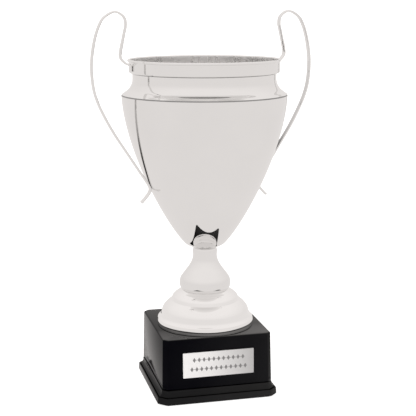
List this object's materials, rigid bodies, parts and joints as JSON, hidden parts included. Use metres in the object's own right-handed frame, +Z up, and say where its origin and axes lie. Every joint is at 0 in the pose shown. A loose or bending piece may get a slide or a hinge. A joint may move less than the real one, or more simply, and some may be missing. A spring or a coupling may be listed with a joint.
{
  "type": "cup trophy",
  "caption": "Two-handled presentation cup with a flared rim and tapered bowl on a pear-shaped stem and domed foot, bolted to a weighted square plinth with an engraving plate.",
  "frame": {"origin": "centre of the underside, on the table plane under the felt pad", "axes": "+Z up through the cup; +X along the plinth towards the right handle; -Y is the side with the engraving plate"},
  "size_m": [0.2234, 0.1598, 0.37],
  "materials": {
    "plated_metal": "mirror-polished nickel plating over spun metal",
    "zinc_steel": "zinc-plated steel fasteners, bright and slightly dulled",
    "raw_steel": "uncoated steel ballast with mill scale",
    "black_plastic": "black moulded plastic, semi-gloss",
    "black_felt": "black self-adhesive felt",
    "adhesive_tape": "white double-sided mounting tape",
    "satin_plate": "satin silver engraving plate with a bright bevelled edge"
  },
  "bodies": {
    "root": {"felt_pad": "black_felt", "plinth": "black_plastic", "weight_plate": "raw_steel", "weight_screw_1": "zinc_steel", "weight_screw_2": "zinc_steel", "weight_screw_3": "zinc_steel", "weight_screw_4": "zinc_steel", "plate_tape": "adhesive_tape", "engraving_plate": "satin_plate", "base_washer": "zinc_steel", "spring_washer": "zinc_steel", "base_nut": "zinc_steel", "tie_rod": "zinc_steel", "foot": "plated_metal", "stem": "plated_metal", "bowl": "plated_metal", "bowl_washer": "zinc_steel", "bowl_nut": "zinc_steel", "handle_left": "plated_metal", "left_upper_screw": "zinc_steel", "left_upper_washer": "zinc_steel", "left_lower_screw": "zinc_steel", "left_lower_washer": "zinc_steel", "handle_right": "plated_metal", "right_upper_screw": "zinc_steel", "right_upper_washer": "zinc_steel", "right_lower_screw": "zinc_steel", "right_lower_washer": "zinc_steel"}
  },
  "joints": []
}
